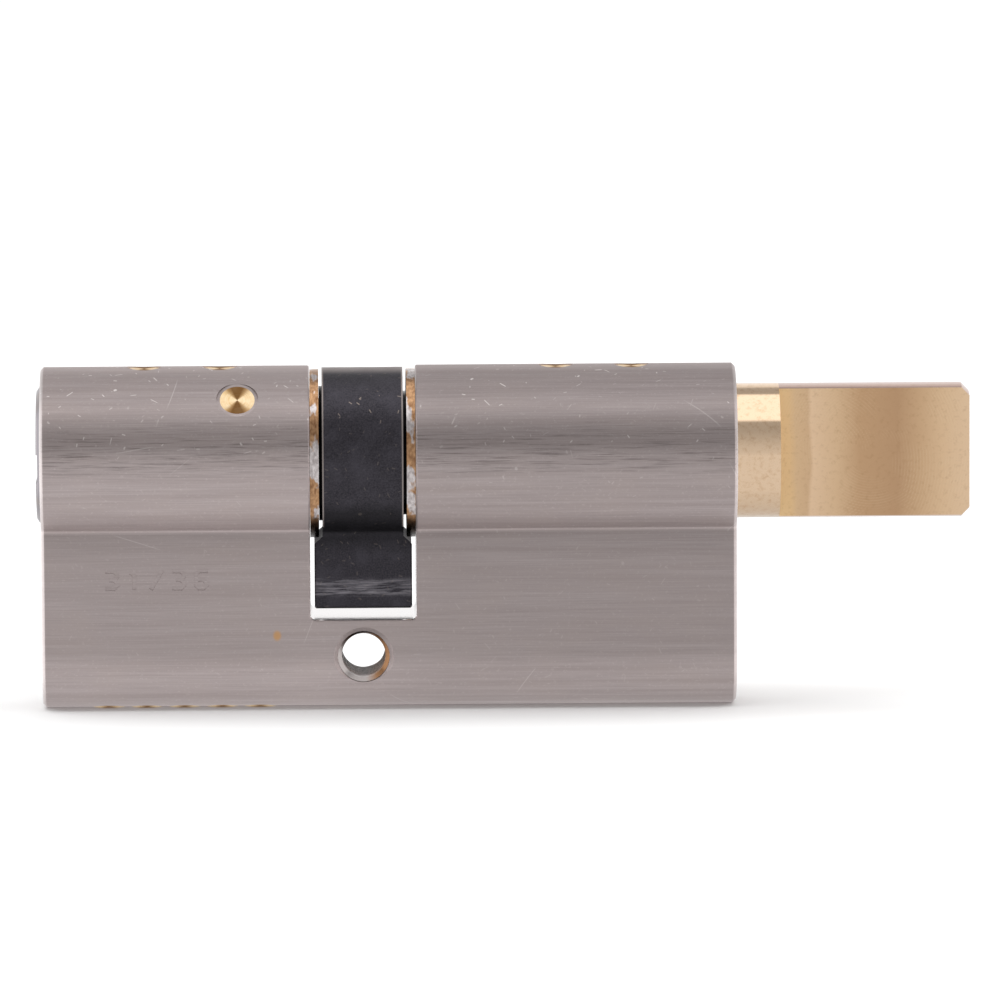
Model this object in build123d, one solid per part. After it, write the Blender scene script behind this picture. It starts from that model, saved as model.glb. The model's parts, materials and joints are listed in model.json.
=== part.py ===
from build123d import *
import os
from math import atan2, degrees

# Euro-profile lock cylinder, size 31/36: a keyed plug at one end, a driving cam in the middle and a
# spindle with a flat tang for a knob at the other end. Millimetres. X runs along the barrel, from the
# keyed side to the tang, Y along the fixing screw and Z up. The origin is the middle of the fixing
# screw's hole, straight under the middle of the cam.

# ---- driving dimensions ----

BARREL_AXIS_Z = 19.25
KEY_FACE_X = -31.0
TURN_FACE_X = 36.0
BARREL_RADIUS = 8.5
WEB_THICKNESS = 10.0
PROFILE_HEIGHT = 33.0
CREASE_FILLET = 0.4
END_CHAMFER = 0.3
SLOT_CHAMFER = 0.15

SLOT_HALF_WIDTH = 5.1
SLOT_DEPTH_BELOW_AXIS = 15.6
SLOT_CORNER = 0.5

SCREW_HOLE_RADIUS = 2.5
SCREW_SINK_RADIUS = 2.9
SCREW_SINK_DEPTH = 0.4

SHAFT_RADIUS = 6.5
NECKED_SHAFT_RADIUS = 6.0
RUNNING_GAP = 0.04
HEAD_RADIUS = 7.1
HEAD_SEAT_RADIUS = 7.15
HEAD_SEAT_DEPTH = 1.6
HEAD_SEAT_GAP = 0.05
HEAD_PROUD = 0.4
HEAD_CHAMFER = (0.65, 0.9)
SHAFT_NOSE_X = 2.0

KEYWAY_HALF_WIDTH = 4.6
KEYWAY_TOP = 0.7
KEYWAY_BOTTOM = -1.9
KEYWAY_RIB = 0.5
ROOF_RIB_Y = (1.3, 2.3)
FLOOR_RIB_Y = (-2.7, -1.7)
LEAD_IN_DEPTH = 0.15
LEAD_IN_WIDENING = 0.1

CLIP_RADIUS = 8.13
CLIP_THICKNESS = 0.85
CLIP_GAP = 0.03
CLIP_GROOVE_RADIUS = 5.3
CLIP_FIT = 0.02
CLIP_MOUTH_GRIP = 0.3

CAM_RING_RADIUS = 8.3
CAM_RING_HALF_WIDTH = 3.9
CAM_LUG_HALF_WIDTH = 4.7
CAM_LUG_THICKNESS = 8.0
CAM_TIP_RADIUS = 15.0
CAM_SHOULDER_RADIUS = 8.6
CAM_SHOULDER_CHAMFER = 0.65
CAM_ROOT_FILLET = 1.0
CAM_EDGE_BREAK = 0.15
CAM_WEB_HALF_WIDTH = 1.9
CAM_BORE_GAP = 0.06

SPINDLE_STEP_X = 8.0
NECK_LENGTH = 4.2
SPINDLE_PROUD = 22.6
TANG_THICKNESS = 4.0
TANG_CHAMFER = 0.75

CLUTCH_CORE_RADIUS = 3.0
CLUTCH_ARM_RADIUS = 4.6
CLUTCH_ARM_WIDTH = 3.0
CLUTCH_CLEARANCE = 0.06
CLUTCH_TRAVEL = 2.4
CLUTCH_TOUCH_GAP = 0.1
KEY_COUPLER_LENGTH = 5.0
KEY_POCKET_END_X = -7.4
TURN_COUPLER_END_X = 6.0
SPRING_POCKET_END_X = 14.0
SOCKET_SPARE = 0.2
PUSHER_RADIUS = 1.2
CLUTCH_SPRING_RADIUS = 2.5
CLUTCH_SPRING_WIRE = 0.25
CLUTCH_SPRING_TURNS = 6
SPRING_END_GAP = 0.05

PIN_COUNT = 5
FIRST_PIN_X = -24.65
PIN_PITCH = 3.65
CHAMBER_RADIUS = 1.5
PIN_RADIUS = 1.45
PIN_TIP_RADIUS = 0.9
PIN_TIP_HOLE_RADIUS = 0.95
KEY_PIN_LENGTHS = (4.9, 5.5, 5.1, 5.7, 5.2)
KEY_PIN_BODY = 2.4
KEY_PIN_STEP = 3.65
SHEAR_GAP = 0.03
PIN_DOME_RADIUS = 4.0
PIN_TIP_CONE = 0.35
DRIVER_PIN_LENGTH = 4.5
DRIVER_PIN_CHAMFER = 0.2
CHAMBER_PLUG_LENGTH = 2.0
DRIVER_SPRING_RADIUS = 1.15
DRIVER_SPRING_WIRE = 0.14
DRIVER_SPRING_TURNS = 9

CROWN_HOLE_OFFSETS = (10.0, 17.3)
CROWN_HOLE_RADIUS = 1.67
CROWN_PLUG_FACE = 8.3
CROWN_PLUG_LENGTH = 1.2
SIDE_HOLE_X = -12.0
SIDE_HOLE_ANGLE = 45.0
SIDE_SPOT_RADIUS = 2.0
SIDE_PLUG_FACE = 8.25

CHECK_PIN_RADIUS = 1.25
CHECK_CHAMBER_RADIUS = 1.3
CHECK_TIP_RADIUS = 0.75
CHECK_TIP_HOLE_RADIUS = 0.8
CHECK_PIN_BODY = 3.25
CHECK_CHAMBER_DEPTH = 3.8
SIDE_CHECK_BODY = 2.35
SIDE_CHECK_CHAMBER_DEPTH = 2.9
CHECK_PIN_LENGTH = 5.5

STAMP_TEXT_X = -19.9
STAMP_BELOW_AXIS = 11.6
STAMP_HEIGHT = 2.07
STAMP_HALF_WIDTH = 0.7
STAMP_CORNER = 0.3
STAMP_PITCH = 2.15
STAMP_STROKE = 0.4
STAMP_DEPTH = 0.1

# ---- places worked out from them ----

# Two places nearer than this are the same place.
SAME = 0.02
BARREL_AXIS = Axis((0, 0, BARREL_AXIS_Z), (1, 0, 0))
WEB_BOTTOM_Z = BARREL_AXIS_Z + BARREL_RADIUS - PROFILE_HEIGHT
WEB_RADIUS = WEB_THICKNESS / 2
WEB_ROUND_Z = WEB_BOTTOM_Z + WEB_RADIUS
SLOT_FLOOR_Z = BARREL_AXIS_Z - SLOT_DEPTH_BELOW_AXIS
BORE_RADIUS = SHAFT_RADIUS + RUNNING_GAP
CLIP_OUTER_X = SLOT_HALF_WIDTH - CLIP_GAP
CLIP_INNER_X = CLIP_OUTER_X - CLIP_THICKNESS
PIN_XS = [FIRST_PIN_X + PIN_PITCH * i for i in range(PIN_COUNT)]
SHEAR_Z = BARREL_AXIS_Z - SHAFT_RADIUS
KEY_CROWN_XS = [KEY_FACE_X + d for d in CROWN_HOLE_OFFSETS]
TURN_CROWN_XS = [TURN_FACE_X - d for d in reversed(CROWN_HOLE_OFFSETS)]


def round_x(radius, x0, x1):
    """A cylinder on the barrel's axis, from x0 to x1."""
    return Pos((x0 + x1) / 2, 0, BARREL_AXIS_Z) * Rot(0, 90, 0) * Cylinder(radius, x1 - x0)


def round_z(radius, x, z0, z1):
    """An upright cylinder on the mid plane, from z0 to z1."""
    return Pos(x, 0, (z0 + z1) / 2) * Cylinder(radius, z1 - z0)


def turned(*points):
    """A solid turned about the barrel's axis, from (x, radius) points that start and end at radius 0."""
    outline = Polyline(*[(x, 0, BARREL_AXIS_Z + r) for x, r in points], close=True)
    return revolve(make_face(outline), BARREL_AXIS)


def block(x0, x1, y0, y1, z0, z1):
    """A rectangular block between two corners."""
    centre = Pos((x0 + x1) / 2, (y0 + y1) / 2, (z0 + z1) / 2)
    return centre * Box(x1 - x0, y1 - y0, z1 - z0)


def radial(x, angle):
    """A place on the barrel's axis whose +Z points outwards, leaning from straight up towards -Y."""
    return Pos(x, 0, BARREL_AXIS_Z) * Rot(angle, 0, 0)


def on_radius(place, radius, r0, r1):
    """A cylinder along a radial place's own Z, between two distances from the barrel's axis."""
    return place * Pos(0, 0, (r0 + r1) / 2) * Cylinder(radius, r1 - r0)


def coil(mean_radius, wire_radius, length, turns):
    """A coil spring along +Z whose wire's middle starts at z 0 and ends at z = length."""
    path = Helix(length / turns, length, mean_radius)
    section = Plane(origin=path @ 0, z_dir=path % 0) * Circle(wire_radius)
    return sweep(section, path=path, is_frenet=True)


def save(name, shape):
    """Write one piece to its own file."""
    shape.label = name
    export_step(shape, f"parts/{name}.step")


# ---- housing ----


def profile_blank():
    """The outer form: a round barrel over a web with a round foot, chamfered all round both ends."""
    barrel = Pos(0, BARREL_AXIS_Z) * Circle(BARREL_RADIUS)
    web = Pos(0, (BARREL_AXIS_Z + WEB_ROUND_Z) / 2) * Rectangle(WEB_THICKNESS, BARREL_AXIS_Z - WEB_ROUND_Z)
    foot = Pos(0, WEB_ROUND_Z) * Circle(WEB_RADIUS)
    outline = barrel + web + foot
    creases = [v for v in outline.vertices() if v.Y > WEB_ROUND_Z + 1]
    outline = fillet(creases, CREASE_FILLET)
    blank = extrude(Plane.YZ.offset(KEY_FACE_X) * outline, TURN_FACE_X - KEY_FACE_X)
    ends = blank.faces().sort_by(Axis.X)
    return chamfer(ends[0].edges() + ends[-1].edges(), END_CHAMFER)


def cam_slot():
    """The slot that the cam and both clips turn in, with small round corners at its floor."""
    top = BARREL_AXIS_Z + BARREL_RADIUS + 1
    reach = BARREL_RADIUS + 1
    slot = block(-SLOT_HALF_WIDTH, SLOT_HALF_WIDTH, -reach, reach, SLOT_FLOOR_Z, top)
    return fillet(slot.edges().filter_by(Axis.Y).group_by(Axis.Z)[0], SLOT_CORNER)


def screw_hole():
    """The hole for the M5 fixing screw, at its thread's outer diameter, with a countersink each side."""
    half = WEB_THICKNESS / 2
    land = half - SCREW_SINK_DEPTH
    outline = Polyline(
        (0, -half - SCREW_SINK_DEPTH),
        (SCREW_SINK_RADIUS + SCREW_SINK_DEPTH, -half - SCREW_SINK_DEPTH),
        (SCREW_HOLE_RADIUS, -land),
        (SCREW_HOLE_RADIUS, land),
        (SCREW_SINK_RADIUS + SCREW_SINK_DEPTH, half + SCREW_SINK_DEPTH),
        (0, half + SCREW_SINK_DEPTH),
        close=True,
    )
    return revolve(make_face(outline), Axis.Y)


def shaft_bores():
    """The bores for the plug, with its head's seat, and for the stepped spindle."""
    past = 1.0
    key_side = turned(
        (KEY_FACE_X - past, 0),
        (KEY_FACE_X - past, HEAD_SEAT_RADIUS),
        (KEY_FACE_X + HEAD_SEAT_DEPTH, HEAD_SEAT_RADIUS),
        (KEY_FACE_X + HEAD_SEAT_DEPTH, BORE_RADIUS),
        (-SLOT_HALF_WIDTH + past, BORE_RADIUS),
        (-SLOT_HALF_WIDTH + past, 0),
    )
    turn_side = turned(
        (SLOT_HALF_WIDTH - past, 0),
        (SLOT_HALF_WIDTH - past, NECKED_SHAFT_RADIUS + RUNNING_GAP),
        (SPINDLE_STEP_X, NECKED_SHAFT_RADIUS + RUNNING_GAP),
        (SPINDLE_STEP_X, BORE_RADIUS),
        (TURN_FACE_X + past, BORE_RADIUS),
        (TURN_FACE_X + past, 0),
    )
    return key_side + turn_side


def stamped_character(character):
    """The strokes of one character of the size stamp, about its own middle, as runs of points."""
    top = (STAMP_HEIGHT - STAMP_STROKE) / 2
    side = STAMP_HALF_WIDTH - STAMP_STROKE / 2
    inset = side - STAMP_CORNER
    drop = top - STAMP_CORNER
    upper_bowl = [(-side, top), (inset, top), (side, drop), (side, STAMP_CORNER), (inset, 0)]
    lower_bowl = [(inset, 0), (side, -STAMP_CORNER), (side, -drop), (inset, -top)]
    if character == "3":
        return [upper_bowl + [(-STAMP_CORNER / 2, 0)], lower_bowl + [(-side, -top)]]
    if character == "1":
        return [[(-side / 2, drop), (0, top), (0, -top)]]
    if character == "6":
        back = [(side, top), (-inset, top), (-side, drop), (-side, -drop), (-inset, -top)]
        return [back + lower_bowl[::-1] + [(-side, 0)]]
    return [[(-side, -top), (side, top)]]


def size_stamp():
    """The two half lengths of the cylinder, stamped into the web's front face with straight strokes."""
    text = f"{abs(KEY_FACE_X):.0f}/{TURN_FACE_X:.0f}"
    overlap = 0.6 * STAMP_STROKE
    front = Pos(STAMP_TEXT_X, -WEB_THICKNESS / 2, BARREL_AXIS_Z - STAMP_BELOW_AXIS) * Rot(90, 0, 0)
    marks = Part()
    for i, character in enumerate(text):
        place = front * Pos(STAMP_PITCH * (i - (len(text) - 1) / 2), 0, 0)
        for run in stamped_character(character):
            for start, end in zip(run, run[1:]):
                line = Vector(*end) - Vector(*start)
                middle = (Vector(*start) + Vector(*end)) / 2
                turn = Rot(0, 0, degrees(atan2(line.Y, line.X)))
                stroke = Box(line.length + overlap, STAMP_STROKE, 2 * STAMP_DEPTH)
                marks += place * Pos(middle.X, middle.Y, 0) * turn * stroke
    return marks


def make_housing(blank):
    """The body with its slot, bores, screw hole, pin chambers, crown holes, side hole and stamp."""
    body = blank - cam_slot()
    walls = (-SLOT_HALF_WIDTH, SLOT_HALF_WIDTH)
    rims = [e for x in walls for e in body.edges().filter_by_position(Axis.X, x - SAME, x + SAME)]
    body = chamfer([e for e in rims if e.center().Z > SLOT_FLOOR_Z + SLOT_CORNER + SAME], SLOT_CHAMFER)
    body -= shaft_bores()
    body -= screw_hole()
    for x in PIN_XS:
        body -= round_z(CHAMBER_RADIUS, x, WEB_BOTTOM_Z - 1, BARREL_AXIS_Z)
    for x in KEY_CROWN_XS + TURN_CROWN_XS:
        body -= on_radius(radial(x, 0), CROWN_HOLE_RADIUS, 0, BARREL_RADIUS + 1)
    side = radial(SIDE_HOLE_X, SIDE_HOLE_ANGLE)
    body -= on_radius(side, CROWN_HOLE_RADIUS, 0, BARREL_RADIUS + 1)
    body -= on_radius(side, SIDE_SPOT_RADIUS, SIDE_PLUG_FACE, BARREL_RADIUS + 1)
    return body - size_stamp()


# ---- shafts, clips and cam ----


def clip_groove(side):
    """The ring that is cut from a shaft for its clip. side is -1 for the key half and 1 for the other."""
    inner = side * (CLIP_INNER_X - CLIP_FIT)
    outer = side * (CLIP_OUTER_X + CLIP_FIT)
    low, high = min(inner, outer), max(inner, outer)
    return round_x(SHAFT_RADIUS + 1, low, high) - round_x(CLIP_GROOVE_RADIUS, low, high)


def clutch_form(x0, x1, clearance):
    """A round core with four arms, as the couplers have and as their broached sockets have."""
    arm = CLUTCH_ARM_RADIUS + clearance
    half = CLUTCH_ARM_WIDTH / 2 + clearance
    flat_arm = block(x0, x1, -arm, arm, BARREL_AXIS_Z - half, BARREL_AXIS_Z + half)
    upright_arm = block(x0, x1, -half, half, BARREL_AXIS_Z - arm, BARREL_AXIS_Z + arm)
    return round_x(CLUTCH_CORE_RADIUS + clearance, x0, x1) + flat_arm + upright_arm


def keyway():
    """The flat keyway for a dimple key, with one rib in its roof and one in its floor."""
    outer = KEY_FACE_X - HEAD_PROUD - 1
    floor, roof = BARREL_AXIS_Z + KEYWAY_BOTTOM, BARREL_AXIS_Z + KEYWAY_TOP
    slot = block(outer, KEY_POCKET_END_X, -KEYWAY_HALF_WIDTH, KEYWAY_HALF_WIDTH, floor, roof)
    slot -= block(outer, KEY_POCKET_END_X, *ROOF_RIB_Y, roof - KEYWAY_RIB, roof)
    return slot - block(outer, KEY_POCKET_END_X, *FLOOR_RIB_Y, floor, floor + KEYWAY_RIB)


def check_chamber(place, depth):
    """The stepped hole that holds a check pin, from the plug's surface in to the keyway."""
    chamber = on_radius(place, CHECK_CHAMBER_RADIUS, SHAFT_RADIUS - depth, SHAFT_RADIUS + 1)
    return chamber + on_radius(place, CHECK_TIP_HOLE_RADIUS, 0, SHAFT_RADIUS)


def make_keyed_plug():
    """The core that the key turns, with its chamfered head proud of the housing."""
    tip = KEY_FACE_X - HEAD_PROUD
    run, rise = HEAD_CHAMFER
    seat = KEY_FACE_X + HEAD_SEAT_DEPTH - HEAD_SEAT_GAP
    plug = turned(
        (tip, 0),
        (tip, HEAD_RADIUS - rise),
        (tip + run, HEAD_RADIUS),
        (seat, HEAD_RADIUS),
        (seat, SHAFT_RADIUS),
        (-SHAFT_NOSE_X, SHAFT_RADIUS),
        (-SHAFT_NOSE_X, 0),
    )
    floor = BARREL_AXIS_Z + KEYWAY_BOTTOM - LEAD_IN_WIDENING
    roof = BARREL_AXIS_Z + KEYWAY_TOP
    plug -= block(tip - 1, tip + LEAD_IN_DEPTH, -HEAD_RADIUS, HEAD_RADIUS, floor, roof)
    plug -= keyway()
    plug -= clutch_form(KEY_POCKET_END_X, 0, CLUTCH_CLEARANCE)
    plug -= clip_groove(-1)
    for x in PIN_XS:
        plug -= round_z(CHAMBER_RADIUS, x, SHEAR_Z - 1, SHEAR_Z + KEY_PIN_STEP)
        plug -= round_z(PIN_TIP_HOLE_RADIUS, x, SHEAR_Z, BARREL_AXIS_Z + KEYWAY_BOTTOM + KEYWAY_RIB)
    for x in KEY_CROWN_XS:
        plug -= check_chamber(radial(x, 0), CHECK_CHAMBER_DEPTH)
    return plug - check_chamber(radial(SIDE_HOLE_X, SIDE_HOLE_ANGLE), SIDE_CHECK_CHAMBER_DEPTH)


def make_spindle():
    """The shaft that the knob turns, with a round neck and a tang milled flat on both sides."""
    neck_end = TURN_FACE_X + NECK_LENGTH
    end = TURN_FACE_X + SPINDLE_PROUD
    step = SPINDLE_STEP_X + RUNNING_GAP
    spindle = turned(
        (SHAFT_NOSE_X, 0),
        (SHAFT_NOSE_X, NECKED_SHAFT_RADIUS),
        (step, NECKED_SHAFT_RADIUS),
        (step, SHAFT_RADIUS),
        (end - TANG_CHAMFER, SHAFT_RADIUS),
        (end, SHAFT_RADIUS - TANG_CHAMFER),
        (end, 0),
    )
    low, high = BARREL_AXIS_Z - SHAFT_RADIUS - 1, BARREL_AXIS_Z + SHAFT_RADIUS + 1
    for side in (-1, 1):
        inner, outer = side * TANG_THICKNESS / 2, side * (SHAFT_RADIUS + 1)
        spindle -= block(neck_end, end + 1, min(inner, outer), max(inner, outer), low, high)
    spindle -= clutch_form(0, TURN_COUPLER_END_X + CLUTCH_TRAVEL + SOCKET_SPARE, CLUTCH_CLEARANCE)
    spindle -= round_x(CLUTCH_CORE_RADIUS + CLUTCH_CLEARANCE, 0, SPRING_POCKET_END_X)
    return spindle - clip_groove(1)


def make_clip(side):
    """A retaining clip: a flat ring, open at the back where it is pushed over its groove."""
    inner, outer = side * CLIP_INNER_X, side * CLIP_OUTER_X
    low, high = min(inner, outer), max(inner, outer)
    ring = round_x(CLIP_RADIUS, low, high) - round_x(CLIP_GROOVE_RADIUS + CLIP_FIT, low, high)
    mouth = CLIP_GROOVE_RADIUS - CLIP_MOUTH_GRIP
    return ring - block(low, high, 0, CLIP_RADIUS + 1, BARREL_AXIS_Z - mouth, BARREL_AXIS_Z + mouth)


def make_cam():
    """The ring and lug. A lathe cut leaves the ring narrower than the lug and a sloping shoulder."""
    ring = Pos(0, BARREL_AXIS_Z) * Circle(CAM_RING_RADIUS)
    lug = Pos(0, BARREL_AXIS_Z - CAM_TIP_RADIUS / 2) * Rectangle(CAM_LUG_THICKNESS, CAM_TIP_RADIUS)
    lug &= Pos(0, BARREL_AXIS_Z) * Circle(CAM_TIP_RADIUS)
    outline = ring + lug
    centre = Vector(0, BARREL_AXIS_Z)
    roots = [v for v in outline.vertices() if abs((v.center() - centre).length - CAM_RING_RADIUS) < SAME]
    outline = fillet(roots, CAM_ROOT_FILLET)
    cam = extrude(Plane.YZ * outline, CAM_LUG_HALF_WIDTH, both=True)
    cam = chamfer(cam.faces().filter_by(Axis.X).edges(), CAM_EDGE_BREAK)
    for side in (-1, 1):
        cam -= turned(
            (side * CAM_RING_HALF_WIDTH, 0),
            (side * CAM_RING_HALF_WIDTH, CAM_SHOULDER_RADIUS),
            (side * CAM_LUG_HALF_WIDTH, CAM_SHOULDER_RADIUS + CAM_SHOULDER_CHAMFER),
            (side * (CAM_LUG_HALF_WIDTH + 1), CAM_SHOULDER_RADIUS + CAM_SHOULDER_CHAMFER),
            (side * (CAM_LUG_HALF_WIDTH + 1), 0),
        )
    cam -= round_x(SHAFT_RADIUS + CAM_BORE_GAP, -CAM_LUG_HALF_WIDTH, -CAM_WEB_HALF_WIDTH)
    cam -= round_x(NECKED_SHAFT_RADIUS + CAM_BORE_GAP, CAM_WEB_HALF_WIDTH, CAM_LUG_HALF_WIDTH)
    return cam - clutch_form(-CAM_LUG_HALF_WIDTH, CAM_LUG_HALF_WIDTH, CLUTCH_CLEARANCE)


# ---- clutch ----


def make_key_coupler():
    """The coupler that the key's tip pushes, with a slim pusher that reaches through the cam."""
    turn_face = CAM_WEB_HALF_WIDTH + CLUTCH_TOUCH_GAP - CLUTCH_TRAVEL
    body = clutch_form(-SHAFT_NOSE_X - KEY_COUPLER_LENGTH, -SHAFT_NOSE_X, 0)
    return body + round_x(PUSHER_RADIUS, -SHAFT_NOSE_X, turn_face - CLUTCH_TOUCH_GAP)


def make_turn_coupler():
    """The coupler that joins the spindle to the cam until a key pushes it back."""
    turn_face = CAM_WEB_HALF_WIDTH + CLUTCH_TOUCH_GAP - CLUTCH_TRAVEL
    return clutch_form(turn_face, TURN_COUPLER_END_X, 0)


def make_clutch_spring():
    """The coil spring behind the turn coupler."""
    inset = CLUTCH_SPRING_WIRE + SPRING_END_GAP
    start = TURN_COUPLER_END_X + inset
    length = SPRING_POCKET_END_X - inset - start
    spring = coil(CLUTCH_SPRING_RADIUS, CLUTCH_SPRING_WIRE, length, CLUTCH_SPRING_TURNS)
    return Pos(start, 0, BARREL_AXIS_Z) * Rot(0, 90, 0) * spring


# ---- pins, springs and closing plugs ----


def domed(pin):
    """A pin whose outer end, at z 0, is rounded so that it stays inside the plug as the plug turns."""
    width, length = 2 * PIN_DOME_RADIUS + 1, 20
    beyond = Pos(0, 0, PIN_DOME_RADIUS + length / 2) * Box(width, width, length)
    return pin & (Pos(0, 0, PIN_DOME_RADIUS) * Sphere(PIN_DOME_RADIUS) + beyond)


def stepped_pin(radius, body, tip_radius, length):
    """A pin along +Z: a thick body from z 0 and a slim tip with a cone on its end."""
    shank = Pos(0, 0, body / 2) * Cylinder(radius, body)
    tip_length = length - body - PIN_TIP_CONE
    tip = Pos(0, 0, body + tip_length / 2) * Cylinder(tip_radius, tip_length)
    cone = Cone(tip_radius, tip_radius - PIN_TIP_CONE, PIN_TIP_CONE)
    return domed(shank + tip + Pos(0, 0, length - PIN_TIP_CONE / 2) * cone)


def make_key_pin(x, length):
    """A key pin, from the shear line up into the keyway."""
    pin = stepped_pin(PIN_RADIUS, KEY_PIN_BODY, PIN_TIP_RADIUS, length)
    return Pos(x, 0, SHEAR_Z + SHEAR_GAP) * pin


def make_check_pin(place, body):
    """A check pin, from the plug's surface in to the keyway."""
    pin = stepped_pin(CHECK_PIN_RADIUS, body, CHECK_TIP_RADIUS, CHECK_PIN_LENGTH)
    return place * Pos(0, 0, SHAFT_RADIUS - SHEAR_GAP) * Rot(180, 0, 0) * pin


def make_driver_pin(x):
    """A driver pin, with its edges broken, just under the plug."""
    top = BARREL_AXIS_Z - BORE_RADIUS - SHEAR_GAP
    pin = round_z(PIN_RADIUS, x, top - DRIVER_PIN_LENGTH, top)
    return chamfer(pin.edges().filter_by(GeomType.CIRCLE), DRIVER_PIN_CHAMFER)


def make_driver_spring(x):
    """The coil spring between a chamber's closing plug and its driver pin."""
    inset = DRIVER_SPRING_WIRE + SPRING_END_GAP
    low = WEB_BOTTOM_Z + CHAMBER_PLUG_LENGTH + inset
    high = BARREL_AXIS_Z - BORE_RADIUS - SHEAR_GAP - DRIVER_PIN_LENGTH - inset
    spring = coil(DRIVER_SPRING_RADIUS, DRIVER_SPRING_WIRE, high - low, DRIVER_SPRING_TURNS)
    return Pos(x, 0, low) * spring


def make_chamber_plug(x, blank):
    """The plug pressed into a chamber from below and dressed to the web's round foot."""
    return round_z(CHAMBER_RADIUS, x, WEB_BOTTOM_Z - 1, WEB_BOTTOM_Z + CHAMBER_PLUG_LENGTH) & blank


def make_radial_plug(place, face):
    """A brass plug pressed into a hole of the barrel, with a flat turned face."""
    return on_radius(place, CROWN_HOLE_RADIUS, face - CROWN_PLUG_LENGTH, face)


# ---- all pieces ----

os.makedirs("parts", exist_ok=True)
profile = profile_blank()

save("housing", make_housing(profile))
save("keyed_plug", make_keyed_plug())
save("spindle", make_spindle())
save("plug_clip", make_clip(-1))
save("spindle_clip", make_clip(1))
save("cam", make_cam())
save("key_coupler", make_key_coupler())
save("turn_coupler", make_turn_coupler())
save("clutch_spring", make_clutch_spring())

for number, (pin_x, pin_length) in enumerate(zip(PIN_XS, KEY_PIN_LENGTHS), start=1):
    save(f"key_pin_{number}", make_key_pin(pin_x, pin_length))
    save(f"driver_pin_{number}", make_driver_pin(pin_x))
    save(f"driver_spring_{number}", make_driver_spring(pin_x))
    save(f"chamber_plug_{number}", make_chamber_plug(pin_x, profile))

for number, hole_x in enumerate(KEY_CROWN_XS + TURN_CROWN_XS, start=1):
    save(f"top_plug_{number}", make_radial_plug(radial(hole_x, 0), CROWN_PLUG_FACE))
for number, hole_x in enumerate(KEY_CROWN_XS, start=1):
    save(f"check_pin_{number}", make_check_pin(radial(hole_x, 0), CHECK_PIN_BODY))

side_place = radial(SIDE_HOLE_X, SIDE_HOLE_ANGLE)
save("side_plug", make_radial_plug(side_place, SIDE_PLUG_FACE))
save("side_check_pin", make_check_pin(side_place, SIDE_CHECK_BODY))
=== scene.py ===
import json
import math

import bpy
import numpy as np
from mathutils import Matrix, Vector


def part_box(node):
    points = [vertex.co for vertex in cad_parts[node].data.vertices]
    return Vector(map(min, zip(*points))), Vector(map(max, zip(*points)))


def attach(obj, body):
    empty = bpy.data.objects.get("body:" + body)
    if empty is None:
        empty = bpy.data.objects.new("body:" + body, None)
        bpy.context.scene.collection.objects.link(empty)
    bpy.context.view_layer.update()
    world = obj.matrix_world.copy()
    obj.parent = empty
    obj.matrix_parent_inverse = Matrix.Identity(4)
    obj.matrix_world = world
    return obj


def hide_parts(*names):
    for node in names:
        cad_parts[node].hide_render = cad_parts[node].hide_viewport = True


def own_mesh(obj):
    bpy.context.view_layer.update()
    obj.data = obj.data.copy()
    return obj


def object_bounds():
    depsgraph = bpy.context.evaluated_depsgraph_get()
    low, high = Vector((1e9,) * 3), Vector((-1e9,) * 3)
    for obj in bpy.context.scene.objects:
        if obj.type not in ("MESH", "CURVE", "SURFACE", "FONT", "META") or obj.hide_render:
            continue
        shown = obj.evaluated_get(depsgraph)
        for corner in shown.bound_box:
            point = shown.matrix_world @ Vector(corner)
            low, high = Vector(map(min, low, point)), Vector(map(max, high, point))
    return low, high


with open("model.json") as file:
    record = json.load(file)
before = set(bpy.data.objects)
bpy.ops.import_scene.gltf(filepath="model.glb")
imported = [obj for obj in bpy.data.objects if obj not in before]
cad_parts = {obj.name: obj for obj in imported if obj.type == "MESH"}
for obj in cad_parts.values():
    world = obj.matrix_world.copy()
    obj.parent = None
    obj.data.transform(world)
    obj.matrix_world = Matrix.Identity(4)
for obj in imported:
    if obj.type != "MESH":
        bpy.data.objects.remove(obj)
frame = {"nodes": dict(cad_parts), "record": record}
cad_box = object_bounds()
cad = frame["nodes"]

# ---- camera ----
# A long lens in front of the cam and a little above it, far enough off that the barrel's edges stay
# nearly parallel. It aims right of the cam and below the barrel, at the middle of the whole cylinder.

spindle_low, spindle_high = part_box("spindle")
barrel_z = (spindle_low.z + spindle_high.z) / 2

camera_turn = math.radians(-1.0)
camera_rise = math.radians(6.8)
camera_roll = math.radians(-0.28)
camera_distance = 1.0
view_width = 0.0967
aim = Vector((0.01328, 0.0, barrel_z - 0.00468))

towards = Vector((-math.sin(camera_turn) * math.cos(camera_rise),
                  math.cos(camera_turn) * math.cos(camera_rise),
                  -math.sin(camera_rise)))
camera_data = bpy.data.cameras.new("studio_camera")
camera_data.sensor_width = 36.0
camera_data.lens = camera_data.sensor_width * camera_distance / view_width
camera_data.clip_start = 0.05
camera_data.clip_end = 50.0
camera = bpy.data.objects.new("studio_camera", camera_data)
camera.rotation_euler = (towards.to_track_quat("-Z", "Y").to_matrix().to_4x4()
                         @ Matrix.Rotation(camera_roll, 4, "Z")).to_euler()
camera.location = aim - camera_distance * towards
bpy.context.scene.collection.objects.link(camera)
bpy.context.scene.camera = camera
bpy.context.scene.view_settings.view_transform = "Standard"

# ---- housing ----
# One drawn brass bar, machined, brushed along its length and plated with dull nickel. Handling has left
# short bright nicks, some long faint scratches and specks of bare brass. Light and shade are painted on
# it as well: by height, as dark streaks along the barrel, and as highlights on its edges and in the slot.


def linear(hex_colour):
    """An sRGB hex colour as linear red, green, blue and full alpha."""
    channels = [int(hex_colour[i:i + 2], 16) / 255 for i in (1, 3, 5)]
    return tuple(c / 12.92 if c <= 0.04045 else ((c + 0.055) / 1.055) ** 2.4 for c in channels) + (1.0,)


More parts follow.
